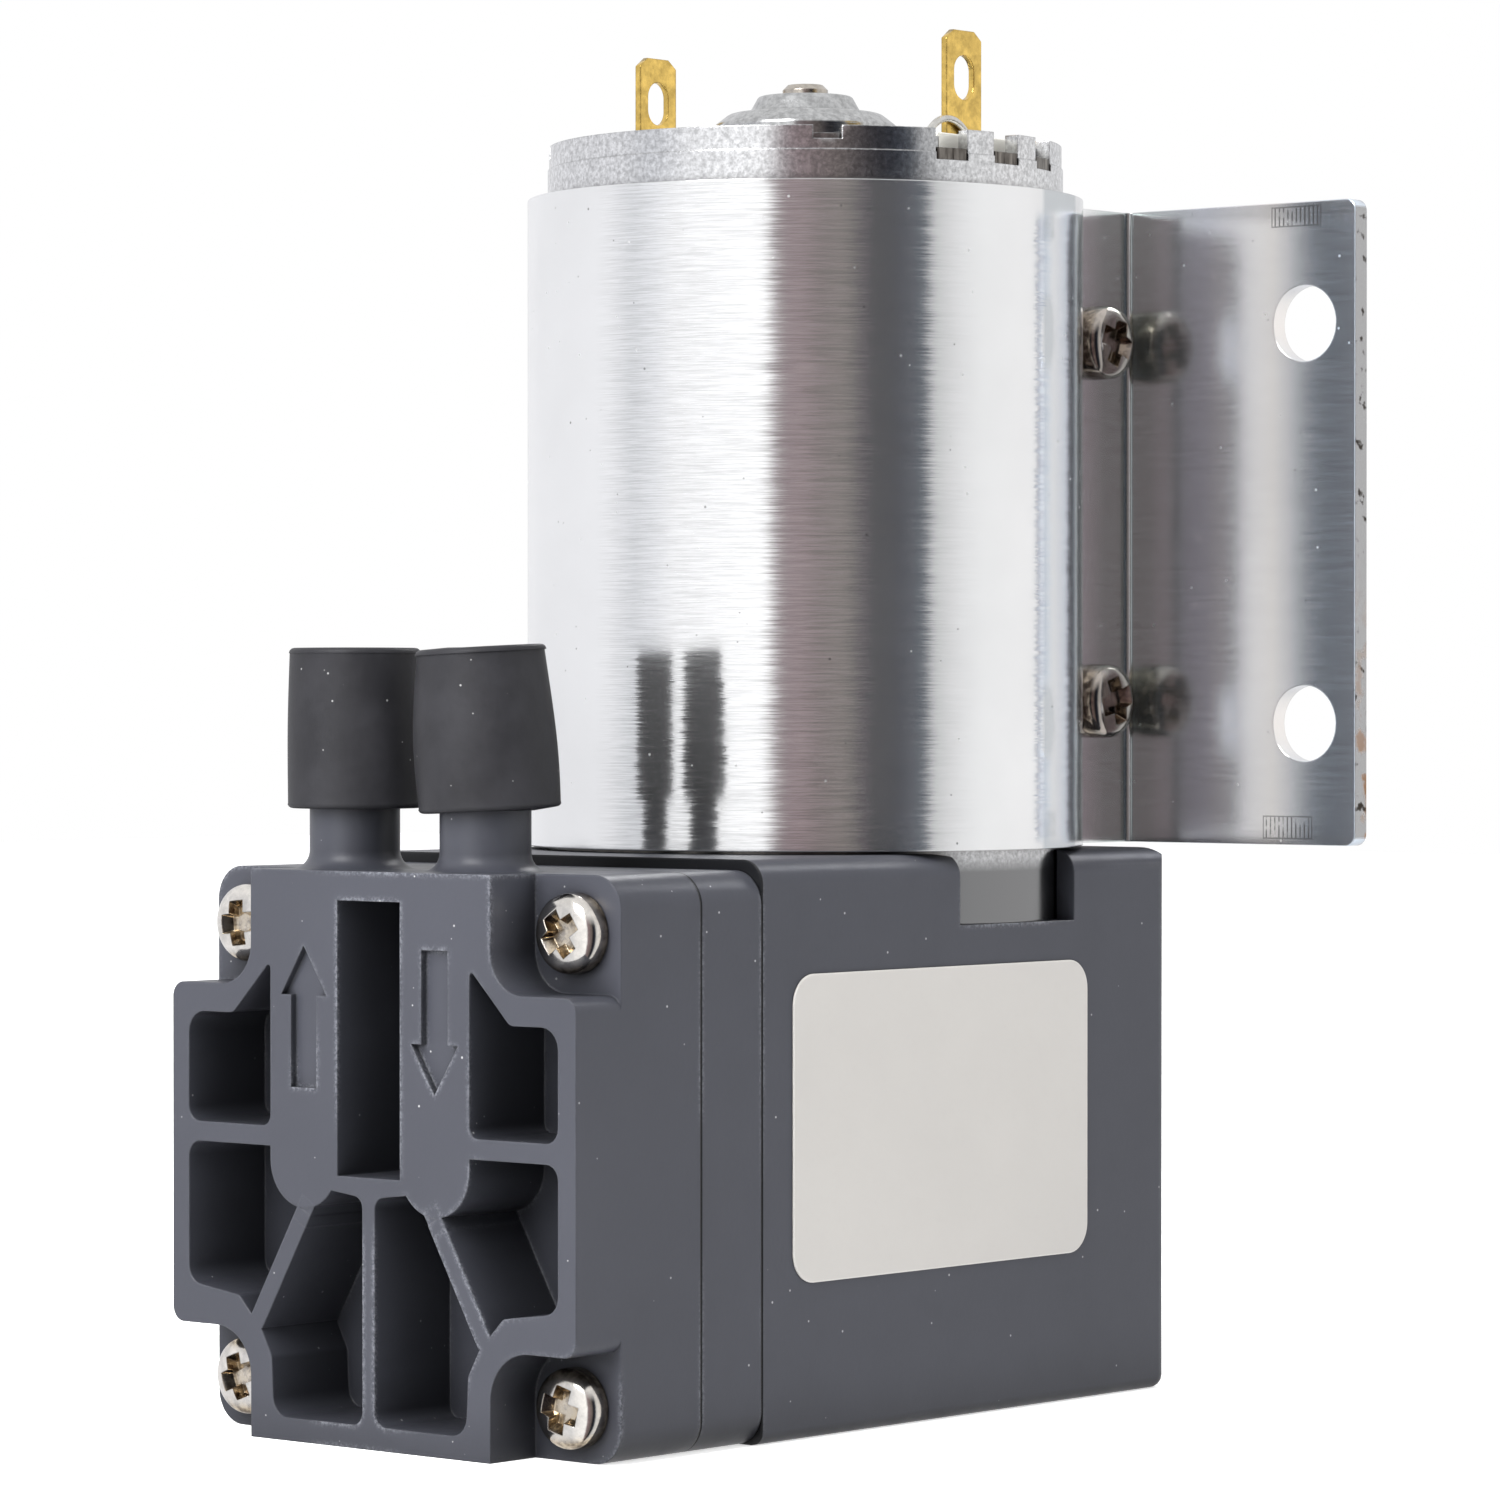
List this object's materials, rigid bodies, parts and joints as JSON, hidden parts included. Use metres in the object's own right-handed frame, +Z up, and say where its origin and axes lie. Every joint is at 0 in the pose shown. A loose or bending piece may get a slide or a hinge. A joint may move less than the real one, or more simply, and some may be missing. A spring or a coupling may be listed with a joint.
{
  "type": "mini vacuum pump",
  "caption": "Small diaphragm vacuum pump: ribbed head with two capped hose ports, crankcase, upright can motor and sheet strap with an L shaped mounting leg.",
  "frame": {"origin": "motor axis at the bottom face of the crankcase", "axes": "+Z up along the motor axis, -Y out of the pump head's ribbed front, +X to the label side"},
  "size_m": [0.0503, 0.0669, 0.0936],
  "materials": {
    "housing_plastic": "satin moulded plastic",
    "screw_steel": "nickel plated steel",
    "black_steel": "blackened steel",
    "black_rubber": "matt black rubber",
    "label_film": "satin silver white film, bare",
    "zinc_plate": "zinc plated deep drawn steel",
    "ferrite": "dark ceramic magnet",
    "bronze": "sintered bronze",
    "white_plastic": "natural white plastic",
    "brass": "stamped brass",
    "tinned_wire": "tinned wire",
    "carbon": "carbon",
    "bright_sheet": "bright rolled sheet",
    "ground_steel": "ground steel",
    "core_steel": "laminated core steel",
    "copper": "copper",
    "cast_alloy": "die cast alloy"
  },
  "bodies": {
    "housing": {"crankcase": "housing_plastic", "bottom_cover": "housing_plastic", "cover_screws": "screw_steel", "valve_body": "housing_plastic", "valve_gasket": "black_rubber", "head_cover": "housing_plastic", "head_screws": "screw_steel", "rating_label": "label_film", "diaphragm": "black_rubber", "motor_can": "zinc_plate", "magnets": "ferrite", "front_bush": "bronze", "rear_bush": "bronze", "end_bell": "white_plastic", "bearing_boss": "zinc_plate", "terminals": "brass", "terminal_wire": "tinned_wire", "brushes": "carbon", "brush_springs": "bronze", "motor_screws": "screw_steel", "mounting_strap": "bright_sheet", "clamp_screws": "screw_steel"},
    "rotor": {"motor_shaft": "ground_steel", "armature_core": "core_steel", "windings": "copper", "commutator": "copper", "eccentric_hub": "cast_alloy", "grub_screw": "black_steel", "bearing_inner": "ground_steel"},
    "rod": {"connecting_rod": "cast_alloy", "bearing_outer": "ground_steel", "diaphragm_retainer": "cast_alloy", "diaphragm_screw": "screw_steel"},
    "ball_ring": {"bearing_balls": "ground_steel", "bearing_cage": "brass"},
    "inlet_valve": {"inlet_valve": "black_rubber"},
    "outlet_valve": {"outlet_valve": "black_rubber"},
    "inlet_cap": {"inlet_cap": "black_rubber"},
    "outlet_cap": {"outlet_cap": "black_rubber"}
  },
  "joints": [
    {"name": "motor_spin", "type": "hinge", "parent": "housing", "child": "rotor", "pos_m": [0, 0, 0], "axis": [0, 0, 1], "continuous": true},
    {"name": "rod_orbit", "type": "hinge", "parent": "rotor", "child": "rod", "pos_m": [0, -0.0015, 0.0185], "axis": [0, 0, 1], "continuous": true, "deforming": ["diaphragm"]},
    {"name": "ball_ring_turn", "type": "hinge", "parent": "rotor", "child": "ball_ring", "pos_m": [0, -0.0015, 0.0185], "axis": [0, 0, 1], "continuous": true},
    {"name": "inlet_valve_lift", "type": "slide", "parent": "housing", "child": "inlet_valve", "axis": [0, 1, 0], "range_m": [0, 0.0004], "stiffness_N_per_m": 40},
    {"name": "outlet_valve_lift", "type": "slide", "parent": "housing", "child": "outlet_valve", "axis": [0, -1, 0], "range_m": [0, 0.0004], "stiffness_N_per_m": 40},
    {"name": "inlet_cap_pull", "type": "slide", "parent": "housing", "child": "inlet_cap", "axis": [0, 0, 1], "range_m": [0, 0.012]},
    {"name": "outlet_cap_pull", "type": "slide", "parent": "housing", "child": "outlet_cap", "axis": [0, 0, 1], "range_m": [0, 0.012]}
  ],
  "couplings": [
    {"joint": "rod_orbit", "follows": "motor_spin", "ratio": -1},
    {"joint": "ball_ring_turn", "follows": "motor_spin", "ratio": -0.6667}
  ]
}
